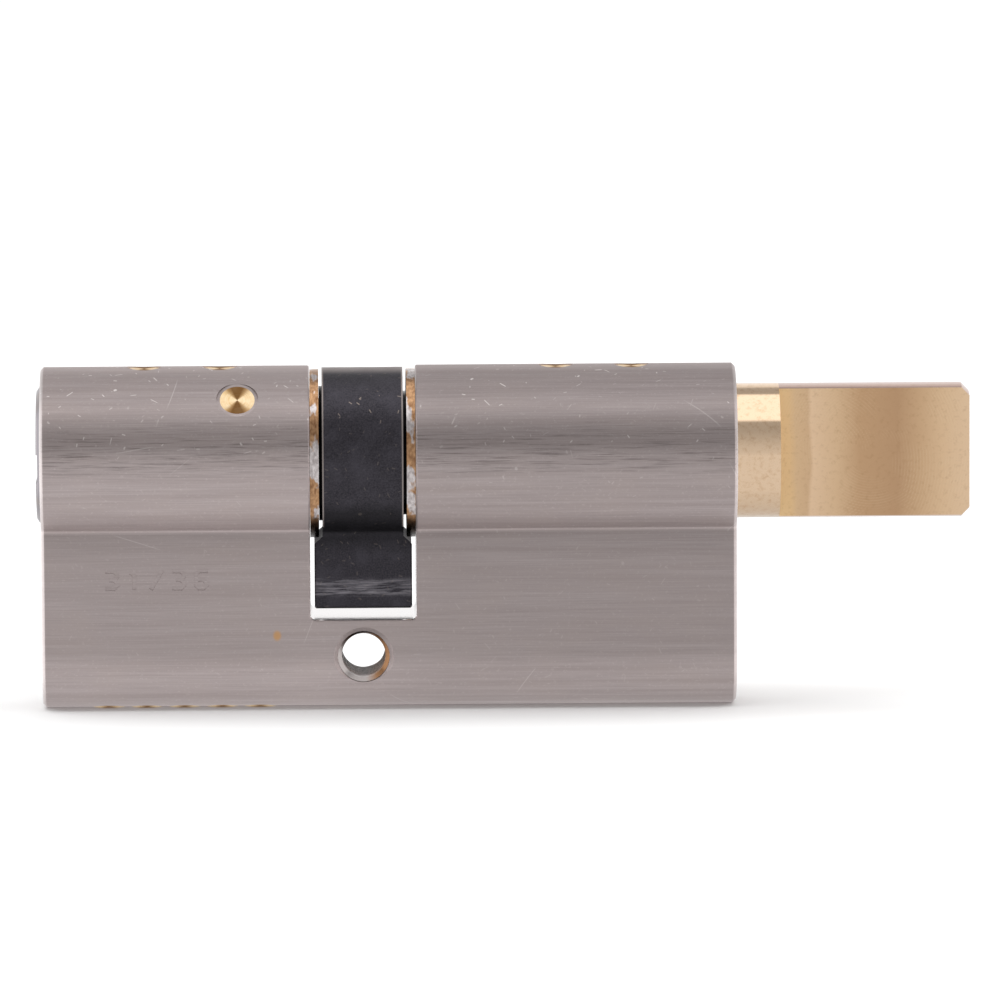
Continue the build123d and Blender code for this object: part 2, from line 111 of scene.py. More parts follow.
def new_material(name):
    """A material and its emptied node tree."""
    material = bpy.data.materials.new(name)
    material.use_nodes = True
    material.node_tree.nodes.clear()
    return material, material.node_tree


def add(tree, kind, out=0, do=None, stops=None, **inputs):
    """Adds a node with its settings, colour stops, links and values. Gives back one output, or the node.

    An input goes by its name with _ for a space, or by in_ and its number. do is a Math operation's name
    or a dictionary of settings. A stop is a place with a grey or a colour.
    """
    node = tree.nodes.new("ShaderNode" + kind)
    for name, value in ({"operation": do} if isinstance(do, str) else do or {}).items():
        setattr(node, name, value)
    for name, value in inputs.items():
        socket = node.inputs[int(name[3:]) if name.startswith("in_") else name.replace("_", " ")]
        if isinstance(value, bpy.types.NodeSocket):
            tree.links.new(value, socket)
        else:
            socket.default_value = value
    for i, (position, value) in enumerate(stops or ()):
        band = node.color_ramp.elements
        stop = band[i] if i < 2 else band.new(position)
        stop.position = position
        stop.color = value if isinstance(value, tuple) else (value, value, value, 1.0)
    return node if out is None else node.outputs[out]


def per_metre(*sizes_mm):
    """How many pattern cells of these sizes go into a metre."""
    return tuple(1000.0 / size for size in sizes_mm)


RGBA = {"data_type": "RGBA"}
TIMES = {"data_type": "RGBA", "blend_type": "MULTIPLY"}


def height_above_axis(tree):
    """Height over the barrel's axis in millimetres."""
    z = add(tree, "SeparateXYZ", 2, Vector=add(tree, "TexCoord", "Object"))
    return add(tree, "Math", 0, "MULTIPLY_ADD", in_0=z, in_1=1000.0, in_2=-1000.0 * barrel_z)


def scratches(tree, spacing_mm, length_mm, width_mm, share, shift):
    """Straight cuts in random directions. In a share of the cells of a Voronoi pattern a thin flat disc
    with a random lean stands at the cell's centre, and the line where the surface cuts it is a scratch."""
    cells = add(tree, "Mapping", Vector=add(tree, "TexCoord", "Object"), Location=shift,
                Scale=per_metre(spacing_mm, spacing_mm, spacing_mm))
    sites = add(tree, "TexVoronoi", None, Vector=cells, Scale=1.0)
    away = add(tree, "VectorMath", 0, "SUBTRACT", in_0=cells, in_1=sites.outputs["Position"])
    lean = add(tree, "VectorMath", 0, "SUBTRACT", in_0=sites.outputs["Color"], in_1=(0.5, 0.5, 0.5))
    lean = add(tree, "VectorMath", 0, "NORMALIZE", in_0=lean)
    off_disc = add(tree, "VectorMath", "Value", "DOT_PRODUCT", in_0=away, in_1=lean)
    off_disc = add(tree, "Math", 0, "ABSOLUTE", in_0=off_disc)
    reach = add(tree, "VectorMath", "Value", "LENGTH", in_0=away)
    half_width = width_mm / 2 / spacing_mm
    half_length = length_mm / 2 / spacing_mm
    thin = add(tree, "ValToRGB", Fac=off_disc, stops=[(half_width / 2, 1.0), (half_width * 1.5, 0.0)])
    short = add(tree, "ValToRGB", Fac=reach, stops=[(0.7 * half_length, 1.0), (half_length, 0.0)])
    chosen = add(tree, "TexWhiteNoise", "Value", Vector=sites.outputs["Position"])
    chosen = add(tree, "Math", 0, "LESS_THAN", in_0=chosen, in_1=share)
    marks = add(tree, "Math", 0, "MULTIPLY", in_0=thin, in_1=short)
    return add(tree, "Math", 0, "MULTIPLY", in_0=marks, in_1=chosen)


cam_low, cam_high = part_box("cam")
web_half = 0.005
slot_half = 0.0051
slot_floor_height_mm = -15.65


def satin_nickel():
    """Dull nickel plate over brushed brass. The brushing gives long fine lines in colour, gloss and relief
    that draw the reflections out round the barrel. Wear shows as bright nicks, and the dark streaks are
    a painted reflection."""
    material, tree = new_material("nickel plated brass, brushed satin")
    here = add(tree, "TexCoord", "Object")
    # The real lines are about 0.03 mm apart, too fine to show, so the finest here are 0.1 mm.
    fine = add(tree, "Mapping", Vector=here, Scale=per_metre(9, 0.1, 0.1))
    fine = add(tree, "TexNoise", Vector=fine, Scale=1.0, Detail=3.0, Roughness=0.65)
    broad = add(tree, "Mapping", Vector=here, Scale=per_metre(30, 0.7, 0.7))
    broad = add(tree, "TexNoise", Vector=broad, Scale=1.0, Detail=4.0, Roughness=0.6)
    stain = add(tree, "Mapping", Vector=here, Scale=per_metre(7, 4, 4))
    stain = add(tree, "TexNoise", Vector=stain, Scale=1.0, Detail=3.0, Roughness=0.55)
    dust = add(tree, "Mapping", Vector=here, Scale=per_metre(0.35, 0.25, 0.25))
    dust = add(tree, "TexNoise", Vector=dust, Scale=1.0, Detail=2.0, Roughness=0.7)
    streak = add(tree, "Mapping", Vector=here, Scale=per_metre(5, 0.16, 0.16))
    streak = add(tree, "TexNoise", Vector=streak, Scale=1.0, Detail=3.0, Roughness=0.7)

    share = add(tree, "ValToRGB", Fac=fine, stops=[(0.25, 0.0), (0.75, 1.0)])
    colour = add(tree, "Mix", 2, RGBA, in_0=share, in_6=linear("#B0A4A3"), in_7=linear("#C9BDBC"))
    share = add(tree, "ValToRGB", Fac=broad, stops=[(0.35, 0.0), (0.70, 0.6)])
    colour = add(tree, "Mix", 2, RGBA, in_0=share, in_6=colour, in_7=linear("#B3A6A4"))
    share = add(tree, "ValToRGB", Fac=stain, stops=[(0.45, 0.0), (0.75, 0.4)])
    colour = add(tree, "Mix", 2, RGBA, in_0=share, in_6=colour, in_7=linear("#C0B2AE"))
    share = add(tree, "ValToRGB", Fac=dust, stops=[(0.58, 0.0), (0.72, 0.32)])
    colour = add(tree, "Mix", 2, RGBA, in_0=share, in_6=colour, in_7=linear("#D8CECC"))

    # Painted light and shade by height, as a share of a 40 mm span that starts 26 mm under the axis: the foot
    # of the web and the barrel's belly are painted bright, the web is painted darker up to just under the
    # barrel, its shoulder and crown are painted dull as painted shade, and a thin painted highlight runs
    # where the barrel meets the web.
    height = height_above_axis(tree)
    tone_span_mm = 40
    tone_foot_mm = 26
    upward = add(tree, "Math", 0, "MULTIPLY_ADD", in_0=height, in_1=1 / tone_span_mm,
                 in_2=tone_foot_mm / tone_span_mm)
    painted_light_by_height = add(tree, "ValToRGB", Fac=upward, stops=[
        (0.06, 0.92), (0.11, 1.0), (0.15, 1.05), (0.18, 0.94), (0.39, 0.93), (0.45, 0.86), (0.471, 0.80),
        (0.4755, 1.15), (0.480, 1.05), (0.50, 1.06), (0.56, 1.02), (0.61, 1.04), (0.66, 0.96), (0.69, 0.72),
        (0.72, 0.72), (0.75, 0.86), (0.777, 0.90), (0.804, 0.69), (0.83, 0.66), (0.85, 0.77), (0.86, 0.95)])
    colour = add(tree, "Mix", 2, TIMES, in_0=1.0, in_6=colour, in_7=painted_light_by_height)
    # The keyed half is a little lighter than the knob's half.
    places = add(tree, "SeparateXYZ", None, Vector=here)
    x, y = places.outputs[0], places.outputs[1]
    bar_span = 0.08
    along = add(tree, "Math", 0, "MULTIPLY_ADD", in_0=x, in_1=1 / bar_span, in_2=0.5)
    halves = add(tree, "ValToRGB", Fac=along, stops=[(0.1, 1.05), (0.45, 1.05), (0.6, 0.93), (0.9, 0.93)])
    colour = add(tree, "Mix", 2, TIMES, in_0=1.0, in_6=colour, in_7=halves)
    # Painted reflection: dark streaks on the barrel's shoulder, where the plate mirrors the dark room.
    dark_reflection_band = add(tree, "ValToRGB", Fac=upward, stops=[(0.60, 0.0), (0.65, 1.0), (0.70, 1.0), (0.76, 0.0)])
    painted_reflection_streaks = add(tree, "ValToRGB", Fac=streak, stops=[(0.50, 0.0), (0.68, 0.7)])
    painted_reflection_streaks = add(tree, "Math", 0, "MULTIPLY", in_0=painted_reflection_streaks, in_1=dark_reflection_band)
    colour = add(tree, "Mix", 2, RGBA, in_0=painted_reflection_streaks, in_6=colour, in_7=linear("#6F6664"))

    nicks = scratches(tree, 1.6, 0.9, 0.07, 0.35, (0.3, 0.8, 0.1))
    tiny = scratches(tree, 0.8, 0.4, 0.08, 0.35, (5.2, 2.4, 3.3))
    long_marks = scratches(tree, 7.0, 5.0, 0.06, 0.5, (1.7, 4.1, 2.2))
    # The barrel's rounded upper half takes most of the knocks.
    exposed = add(tree, "ValToRGB", Fac=upward, stops=[(0.50, 0.2), (0.68, 0.5), (0.76, 1.0)])
    marks = add(tree, "Math", 0, "MAXIMUM", in_0=nicks, in_1=tiny)
    flocks = add(tree, "ValToRGB", Fac=stain, stops=[(0.44, 0.12), (0.56, 0.7)])
    marks = add(tree, "Math", 0, "MULTIPLY", in_0=marks, in_1=exposed)
    marks = add(tree, "Math", 0, "MULTIPLY", in_0=marks, in_1=flocks)
    faint = add(tree, "Math", 0, "MULTIPLY", in_0=long_marks, in_1=0.3)
    marks = add(tree, "Math", 0, "MAXIMUM", in_0=marks, in_1=faint)
    colour = add(tree, "Mix", 2, RGBA, in_0=marks, in_6=colour, in_7=linear("#EFE8E6"))

    bare = add(tree, "Mapping", Vector=here, Location=(2.0, 0.0, 3.0), Scale=per_metre(11, 11, 14))
    bare = add(tree, "TexVoronoi", "Distance", Vector=bare, Scale=1.0)
    bare = add(tree, "ValToRGB", Fac=bare, stops=[(0.025, 1.0), (0.045, 0.0)])
    colour = add(tree, "Mix", 2, RGBA, in_0=bare, in_6=colour, in_7=linear("#D2A77C"))

    # Painted highlights on the broken edges: at both end faces, and down both rims of the cam's slot.
    ends = add(tree, "ValToRGB", Fac=along, stops=[
        (0.1133, 0.6), (0.1141, 0.0), (0.9478, 0.0), (0.9484, 0.3)])
    rims = add(tree, "ValToRGB", Fac=along, stops=[
        (0.4337, 0.0), (0.4343, 1.0), (0.4364, 1.0), (0.4370, 0.0),
        (0.5630, 0.0), (0.5636, 1.0), (0.5657, 1.0), (0.5663, 0.0)])
    beside_slot = add(tree, "Math", 0, "GREATER_THAN", in_0=height, in_1=slot_floor_height_mm)
    rims = add(tree, "Math", 0, "MULTIPLY", in_0=rims, in_1=beside_slot)
    edge_highlights = add(tree, "Math", 0, "MAXIMUM", in_0=ends, in_1=rims)
    # The walls and floor of the slot are milled smooth and mirror the white wall behind, and their colour
    # is painted near white as well, a painted reflection. The margins keep the rim itself outside, and take
    # in the floor.
    wall_margin = 0.00003
    web_margin = 0.0001
    floor_margin_mm = 0.6
    from_cam = add(tree, "Math", 0, "ABSOLUTE", in_0=x)
    from_middle = add(tree, "Math", 0, "ABSOLUTE", in_0=y)
    inside = add(tree, "Math", 0, "LESS_THAN", in_0=from_cam, in_1=slot_half + wall_margin)
    sunk = add(tree, "Math", 0, "LESS_THAN", in_0=from_middle, in_1=web_half - web_margin)
    inside = add(tree, "Math", 0, "MULTIPLY", in_0=inside, in_1=sunk)
    above_hole = add(tree, "Math", 0, "GREATER_THAN", in_0=height,
                     in_1=slot_floor_height_mm - floor_margin_mm)
    inside = add(tree, "Math", 0, "MULTIPLY", in_0=inside, in_1=above_hole)
    # Painted highlights and painted reflection: the edges and the slot are painted near white.
    painted_highlights_and_reflection = add(tree, "Math", 0, "MAXIMUM", in_0=edge_highlights, in_1=inside)
    colour = add(tree, "Mix", 2, RGBA, in_0=painted_highlights_and_reflection, in_6=colour, in_7=linear("#F4EFEE"))

    gloss = add(tree, "ValToRGB", Fac=broad, stops=[(0.3, 0.42), (0.7, 0.52)])
    gloss = add(tree, "Mix", 2, RGBA, in_0=inside, in_6=gloss, in_7=(0.08, 0.08, 0.08, 1.0))
    relief = add(tree, "Math", 0, "MULTIPLY_ADD", in_0=broad, in_1=0.8, in_2=fine)
    relief = add(tree, "Math", 0, "SUBTRACT", in_0=relief, in_1=marks)
    rough_share = add(tree, "Math", 0, "SUBTRACT", in_0=1.0, in_1=inside)
    relief = add(tree, "Math", 0, "MULTIPLY", in_0=relief, in_1=rough_share)
    relief = add(tree, "Bump", Height=relief, Strength=0.35, Distance=0.00003)
    facing = add(tree, "NewGeometry", "Normal")
    # The lean of this axis keeps the lines' direction from vanishing on faces that look along the bar.
    across = add(tree, "VectorMath", 0, "CROSS_PRODUCT", in_0=(1.0, 0.03, 0.02), in_1=facing)
    metal = add(tree, "BsdfPrincipled", Base_Color=colour, Metallic=1.0, Roughness=gloss,
                Anisotropic=0.5, Normal=relief, Tangent=across)
    add(tree, "OutputMaterial", None, Surface=metal)
    return material


def dress(material, slot_name, *names):
    """Gives CAD nodes their finish. Its slot name is not used."""
    for name in names:
        cad[name].data.materials.clear()
        cad[name].data.materials.append(material)


dress(satin_nickel(), "nickel_plate", "housing")

# ---- thread in the fixing hole ----
# The M5 thread for the fixing screw is tapped through the web before plating. It is a ridge of 0.8 mm
# pitch that stands inwards from the hole's wall to the thread's inner diameter.

screw_hole = next(m for m in frame["record"]["mounts"] if m["name"] == "fixing_screw_hole")
thread_pitch = 0.0008
thread_outer = screw_hole["dims"]["r_mm"] / 1000
thread_inner = 0.0021
thread_length = screw_hole["dims"]["length_mm"] / 1000
unthreaded_turns = 1.2
steps_per_turn = 60


def thread_ridge():
    """A helix round Y: x and z are radius times cosine and sine of the turn, y is pitch times the turns
    plus an offset. The section has a root on the wall, two flanks and a crest, and the crest sinks into
    the wall over the first and last half turn, so that the thread starts from nothing."""
    turns = thread_length / thread_pitch - unthreaded_turns
    turn = np.linspace(0.0, turns, int(turns * steps_per_turn) + 1)[:, None]
    run_in = np.clip(np.minimum(turn, turns - turn) / 0.5, 0.0, 1.0)
    offset = thread_pitch * np.array([[-0.46, -0.10, 0.10, 0.46]])
    depth = (thread_outer - thread_inner) * np.array([[0.0, 1.0, 1.0, 0.0]])
    radius = thread_outer - depth * run_in
    y = thread_pitch * (turn - turns / 2) + offset
    angle = 2 * math.pi * turn
    points = np.stack([radius * np.cos(angle), y, radius * np.sin(angle)], axis=2)
    index = np.arange(points.shape[0] * 4).reshape(-1, 4)
    onward = np.roll(index, -1, axis=1)
    sides = np.stack([index[:-1], index[1:], onward[1:], onward[:-1]], axis=2).reshape(-1, 4)
    ends = [index[0, ::-1].tolist(), index[-1].tolist()]
    mesh = bpy.data.meshes.new("fixing_hole_thread")
    mesh.from_pydata(points.reshape(-1, 3).tolist(), [], sides.tolist() + ends)
    return bpy.data.objects.new("fixing_hole_thread", mesh)


def plated_thread():
    """Tapped brass with a thin plate: smooth flanks that mirror, and bare brass on the spindle's side,
    where the plate is thin."""
    material, tree = new_material("tapped brass, thinly nickel plated")
    here = add(tree, "TexCoord", "Object")
    across_hole = add(tree, "SeparateXYZ", 0, Vector=here)
    across_hole = add(tree, "Math", 0, "MULTIPLY_ADD", in_0=across_hole, in_1=0.5 / thread_outer, in_2=0.5)
    share = add(tree, "ValToRGB", Fac=across_hole, stops=[(0.55, 0.0), (0.75, 0.85)])
    colour = add(tree, "Mix", 2, RGBA, in_0=share, in_6=linear("#A39C9A"), in_7=linear("#94663A"))
    chatter = add(tree, "TexNoise", Vector=here, Scale=1000 / 0.25, Detail=2.0)
    relief = add(tree, "Bump", Height=chatter, Strength=0.15, Distance=0.00002)
    metal = add(tree, "BsdfPrincipled", Base_Color=colour, Metallic=1.0, Roughness=0.2, Normal=relief)
    add(tree, "OutputMaterial", None, Surface=metal)
    return material


thread = thread_ridge()
bpy.context.scene.collection.objects.link(thread)
thread.data.materials.append(plated_thread())
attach(thread, "housing")

# ---- closing plugs ----
# Short brass slugs pressed into the drilled holes of the barrel and of the web. Their faces are turned,
# so the fine rings spread the light into a bow tie across each face; the bow tie is also painted into
# their colour as a painted highlight.


def middle(name):
    """The middle of a CAD node's box."""
    low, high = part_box(name)
    return (low + high) / 2


def turned_face_brass(name, centre, axis):
    """Brass turned about an axis: fine rings, a highlight drawn out across them, and the same bow tie
    painted into the colour as a painted highlight.
    """
    material, tree = new_material(name)
    here = add(tree, "TexCoord", "Object")
    away = add(tree, "VectorMath", 0, "SUBTRACT", in_0=here, in_1=centre)
    off_axis = add(tree, "VectorMath", 0, "CROSS_PRODUCT", in_0=away, in_1=axis)
    distance = add(tree, "VectorMath", "Value", "LENGTH", in_0=off_axis)
    # Real turning marks are about 0.05 mm apart. These are 0.15 mm, so that they show.
    step = add(tree, "Math", 0, "MULTIPLY", in_0=distance, in_1=1000 / 0.15)
    rings = add(tree, "TexNoise", 0, {"noise_dimensions": "1D"}, W=step, Scale=1.0, Detail=1.0)
    stain = add(tree, "TexNoise", Vector=here, Scale=1000 / 0.7, Detail=3.0, Roughness=0.6)
    share = add(tree, "Math", 0, "MULTIPLY_ADD", in_0=rings, in_1=0.6, in_2=stain)
    share = add(tree, "ValToRGB", Fac=share, stops=[(0.5, 0.0), (1.0, 1.0)])
    colour = add(tree, "Mix", 2, RGBA, in_0=share, in_6=linear("#E6C48E"), in_7=linear("#FAE6C4"))
    outwards = add(tree, "VectorMath", 0, "CROSS_PRODUCT", in_0=axis, in_1=off_axis)
    outwards = add(tree, "VectorMath", 0, "NORMALIZE", in_0=outwards)
    # Painted highlight: the bow tie's bright wings are painted along the barrel, where the rings face the
    # light, and its sides across the barrel are painted dark.
    painted_bow_tie = add(tree, "VectorMath", "Value", "DOT_PRODUCT", in_0=outwards, in_1=(1.0, 0.0, 0.0))
    painted_bow_tie = add(tree, "Math", 0, "ABSOLUTE", in_0=painted_bow_tie)
    painted_bow_tie = add(tree, "ValToRGB", Fac=painted_bow_tie, stops=[
        (0.35, (0.30, 0.20, 0.12, 1.0)), (0.60, (0.62, 0.50, 0.38, 1.0)), (0.80, (1.0, 0.97, 0.93, 1.0))])
    colour = add(tree, "Mix", 2, TIMES, in_0=1.0, in_6=colour, in_7=painted_bow_tie)
    # A slight lean along the axis keeps the rings' direction from vanishing on the plug's side.
    lean = tuple(0.1 * part for part in axis)
    outwards = add(tree, "VectorMath", 0, "ADD", in_0=outwards, in_1=lean)
    relief = add(tree, "Bump", Height=rings, Strength=0.1, Distance=0.00001)
    metal = add(tree, "BsdfPrincipled", Base_Color=colour, Metallic=1.0, Roughness=0.42,
                Anisotropic=0.95, Normal=relief, Tangent=outwards)
    add(tree, "OutputMaterial", None, Surface=metal)
    return material


for name in sorted(cad):
    if name.startswith(("top_plug", "chamber_plug")):
        plug_brass = turned_face_brass(f"turned brass, {name}", middle(name), (0.0, 0.0, 1.0))
        dress(plug_brass, "closing_brass", name)
side_lean = math.radians(45)
side_axis = (0.0, -math.sin(side_lean), math.cos(side_lean))
side_brass = turned_face_brass("turned brass, side_plug", middle("side_plug"), side_axis)
dress(side_brass, "closing_brass", "side_plug")

# ---- spindle ----
# One brass bar with a turned and polished neck and a tang that is milled flat on both sides. The end
# mill leaves faint arcs and wide passes of lighter and darker metal, and the flat is golden by the shoulder.

tang_mount = next(m for m in frame["record"]["mounts"] if m["name"] == "knob_on_tang")
flat_mount = next(m for m in frame["record"]["mounts"] if m["name"] == "tang_front_flat")
tang_length = tang_mount["dims"]["length_mm"] / 1000
tang_start = spindle_high.x - tang_length
tang_half = abs(flat_mount["pos_m"][1])
shoulder_band_offset = 0.0005
# How far from the middle the journals are painted black as painted shadow.
gap_shadow_reach = cam_high.x + 0.003


def cutter_arcs(tree, centre, spacing_mm, shift):
    """Rings round a point of the flat, left in patches: the sine of the distance from the point."""
    here = add(tree, "TexCoord", "Object")
    off = add(tree, "VectorMath", 0, "SUBTRACT", in_0=here, in_1=centre)
    off = add(tree, "VectorMath", 0, "MULTIPLY", in_0=off, in_1=(1.0, 0.0, 1.0))
    reach = add(tree, "VectorMath", "Value", "LENGTH", in_0=off)
    wave = add(tree, "Math", 0, "MULTIPLY", in_0=reach, in_1=2 * math.pi * 1000 / spacing_mm)
    wave = add(tree, "Math", 0, "SINE", in_0=wave)
    patch = add(tree, "Mapping", Vector=here, Location=shift, Scale=per_metre(4, 4, 4))
    patch = add(tree, "TexNoise", Vector=patch, Scale=1.0, Detail=1.0)
    patch = add(tree, "ValToRGB", Fac=patch, stops=[(0.45, 0.0), (0.62, 1.0)])
    return add(tree, "Math", 0, "MULTIPLY", in_0=wave, in_1=patch)


def machined_brass():
    """Bare brass, polished where it is round and milled where it is flat: the neck mirrors the softbox as a
    hard bright band, the tang is satin with arcs, and a little brown is left where it was handled. The
    neck's underside is painted darker as painted shade, and the journal beside the cam is painted black
    as painted shadow."""
    material, tree = new_material("machined brass, turned neck and milled tang")
    here = add(tree, "TexCoord", "Object")
    places = add(tree, "SeparateXYZ", None, Vector=here)
    x, y = places.outputs[0], places.outputs[1]
    from_middle = add(tree, "Math", 0, "ABSOLUTE", in_0=y)
    on_flat = add(tree, "Math", 0, "COMPARE", in_0=from_middle, in_1=tang_half, in_2=0.00002)
    past_neck = add(tree, "Math", 0, "GREATER_THAN", in_0=x, in_1=tang_start + 0.00001)
    milled = add(tree, "Math", 0, "MULTIPLY", in_0=on_flat, in_1=past_neck)

    # The real cutter marks are about 0.05 mm apart. These are 0.26 and 0.3 mm, so that they show.
    first = cutter_arcs(tree, (spindle_high.x - 0.0095, 0.0, barrel_z + 0.0005), 0.26, (2.0, 1.0, 5.0))
    second = cutter_arcs(tree, (spindle_high.x - 0.0150, 0.0, barrel_z - 0.0010), 0.30, (7.0, 3.0, 1.0))
    arcs = add(tree, "Math", 0, "ADD", in_0=first, in_1=second)
    mottle = add(tree, "TexNoise", Vector=here, Scale=1000 / 0.5, Detail=4.0, Roughness=0.65)
    clouds = add(tree, "TexNoise", Vector=here, Scale=1000 / 4.0, Detail=3.0, Roughness=0.55)

    # Along the tang: a golden band by the shoulder, a bright stripe beyond it, and a bright pass at the far
    # end with a darker one between them.
    soft = add(tree, "Math", 0, "MULTIPLY_ADD", in_0=clouds, in_1=0.0010, in_2=x)
    along = add(tree, "Math", 0, "MULTIPLY_ADD", in_0=soft, in_1=1 / tang_length,
                in_2=-(tang_start + shoulder_band_offset) / tang_length)
    passes = add(tree, "ValToRGB", Fac=along, stops=[
        (0.00, linear("#F4CF9C")), (0.055, linear("#F2CC9A")), (0.09, linear("#E8C59C")),
        (0.15, linear("#E3BF98")), (0.17, linear("#F5D3AF")), (0.30, linear("#E9C69F")),
        (0.42, linear("#D3AC85")), (0.62, linear("#CBA47F")), (0.74, linear("#DDB891")),
        (0.86, linear("#EECBA4")), (1.0, linear("#F7D6B2"))])
    share = add(tree, "ValToRGB", Fac=mottle, stops=[(0.45, 0.0), (0.75, 0.35)])
    polished = add(tree, "Mix", 2, RGBA, in_0=share, in_6=linear("#F4D6B6"), in_7=linear("#E3BC94"))
    # Painted shade: the neck's colour is darkened towards its underside.
    height = height_above_axis(tree)
    neck_span_mm = 20
    upward = add(tree, "Math", 0, "MULTIPLY_ADD", in_0=height, in_1=1 / neck_span_mm, in_2=0.5)
    under = add(tree, "ValToRGB", Fac=upward, stops=[
        (0.20, 0.62), (0.24, 0.66), (0.287, 0.76), (0.34, 0.88), (0.39, 0.90), (0.49, 0.97), (0.55, 1.0)])
    polished = add(tree, "Mix", 2, TIMES, in_0=1.0, in_6=polished, in_7=under)
    # The tang's rounded edges are the bar's own drawn skin, a little redder than the cut faces.
    polished = add(tree, "Mix", 2, RGBA, in_0=past_neck, in_6=polished, in_7=linear("#CDAFA2"))
    colour = add(tree, "Mix", 2, RGBA, in_0=milled, in_6=polished, in_7=passes)
    grime = add(tree, "ValToRGB", Fac=mottle, stops=[(0.52, 0.0), (0.80, 0.35)])
    colour = add(tree, "Mix", 2, RGBA, in_0=grime, in_6=colour, in_7=linear("#A87F55"))
    crests = add(tree, "ValToRGB", Fac=arcs, stops=[(0.2, 0.0), (1.0, 0.16)])
    crests = add(tree, "Math", 0, "MULTIPLY", in_0=crests, in_1=milled)
    colour = add(tree, "Mix", 2, RGBA, in_0=crests, in_6=colour, in_7=linear("#F6DDB8"))

    gloss = add(tree, "ValToRGB", Fac=milled, stops=[(0.0, 0.09), (1.0, 0.34)])
    lathe = add(tree, "Mapping", Vector=here, Scale=per_metre(0.12, 3, 3))
    lathe = add(tree, "TexNoise", Vector=lathe, Scale=1.0, Detail=3.0, Roughness=0.6)
    relief = add(tree, "Math", 0, "MULTIPLY", in_0=arcs, in_1=milled)
    relief = add(tree, "Math", 0, "MULTIPLY_ADD", in_0=lathe, in_1=0.25, in_2=relief)
    relief = add(tree, "Math", 0, "MULTIPLY_ADD", in_0=mottle, in_1=0.4, in_2=relief)
    relief = add(tree, "Bump", Height=relief, Strength=0.2, Distance=0.00001)
    # Painted shadow: the journal beside the cam is painted black, for the deep shade in the gap there.
    from_cam = add(tree, "Math", 0, "ABSOLUTE", in_0=x)
    painted_gap_shadow = add(tree, "Math", 0, "LESS_THAN", in_0=from_cam, in_1=gap_shadow_reach)
    colour = add(tree, "Mix", 2, RGBA, in_0=painted_gap_shadow, in_6=colour, in_7=linear("#0B0A0A"))
    metal = add(tree, "BsdfPrincipled", Base_Color=colour, Metallic=1.0, Roughness=gloss, Normal=relief)
    add(tree, "OutputMaterial", None, Surface=metal)
    return material


dress(machined_brass(), "brass", "spindle")

# ---- keyed plug ----
# The brass core that takes the key, turned, and plated like the housing. Its head stands a little proud
# of the housing, with fine lathe rings round the flat keyway.


def turned_nickel():
    """Nickel plate over a turned face: fine rings round the barrel's axis, a little yellow where worn."""
    material, tree = new_material("nickel plated brass, turned")
    here = add(tree, "TexCoord", "Object")
    away = add(tree, "VectorMath", 0, "SUBTRACT", in_0=here, in_1=(0.0, 0.0, barrel_z))
    away = add(tree, "VectorMath", 0, "MULTIPLY", in_0=away, in_1=(0.0, 1.0, 1.0))
    distance = add(tree, "VectorMath", "Value", "LENGTH", in_0=away)
    # Rings 0.15 mm apart, coarser than the real 0.05 mm, so that they show.
    step = add(tree, "Math", 0, "MULTIPLY", in_0=distance, in_1=1000 / 0.15)
    rings = add(tree, "TexNoise", 0, {"noise_dimensions": "1D"}, W=step, Scale=1.0, Detail=2.0)
    share = add(tree, "ValToRGB", Fac=rings, stops=[(0.3, 0.0), (0.7, 1.0)])
    colour = add(tree, "Mix", 2, RGBA, in_0=share, in_6=linear("#8E8A90"), in_7=linear("#AAA5A8"))
    stain = add(tree, "TexNoise", Vector=here, Scale=1000 / 3.0, Detail=3.0)
    stain = add(tree, "ValToRGB", Fac=stain, stops=[(0.5, 0.0), (0.75, 0.4)])
    colour = add(tree, "Mix", 2, RGBA, in_0=stain, in_6=colour, in_7=linear("#B09A80"))
    marks = scratches(tree, 1.6, 1.2, 0.06, 0.5, (0.4, 2.2, 1.3))
    colour = add(tree, "Mix", 2, RGBA, in_0=marks, in_6=colour, in_7=linear("#E6DFDD"))
    # Painted shadow: the journal beside the cam is painted black, for the deep shade in the gap there.
    x = add(tree, "SeparateXYZ", 0, Vector=here)
    from_cam = add(tree, "Math", 0, "ABSOLUTE", in_0=x)
    painted_gap_shadow = add(tree, "Math", 0, "LESS_THAN", in_0=from_cam, in_1=gap_shadow_reach)
    colour = add(tree, "Mix", 2, RGBA, in_0=painted_gap_shadow, in_6=colour, in_7=linear("#0B0A0A"))
    relief = add(tree, "Bump", Height=rings, Strength=0.3, Distance=0.00001)
    # A slight lean along the bar keeps the rings' direction from vanishing on the plug's round wall.
    away = add(tree, "VectorMath", 0, "ADD", in_0=away, in_1=(0.001, 0.0, 0.0))
    metal = add(tree, "BsdfPrincipled", Base_Color=colour, Metallic=1.0, Roughness=0.32,
                Anisotropic=0.6, Normal=relief, Tangent=away)
    add(tree, "OutputMaterial", None, Surface=metal)
    return material


dress(turned_nickel(), "nickel_plate", "keyed_plug")

# ---- retaining clips ----
# Stamped brass rings pushed into a groove of each shaft. They were plated with the cylinder and rub as
# it turns, so islands of nickel are left on brown brass.


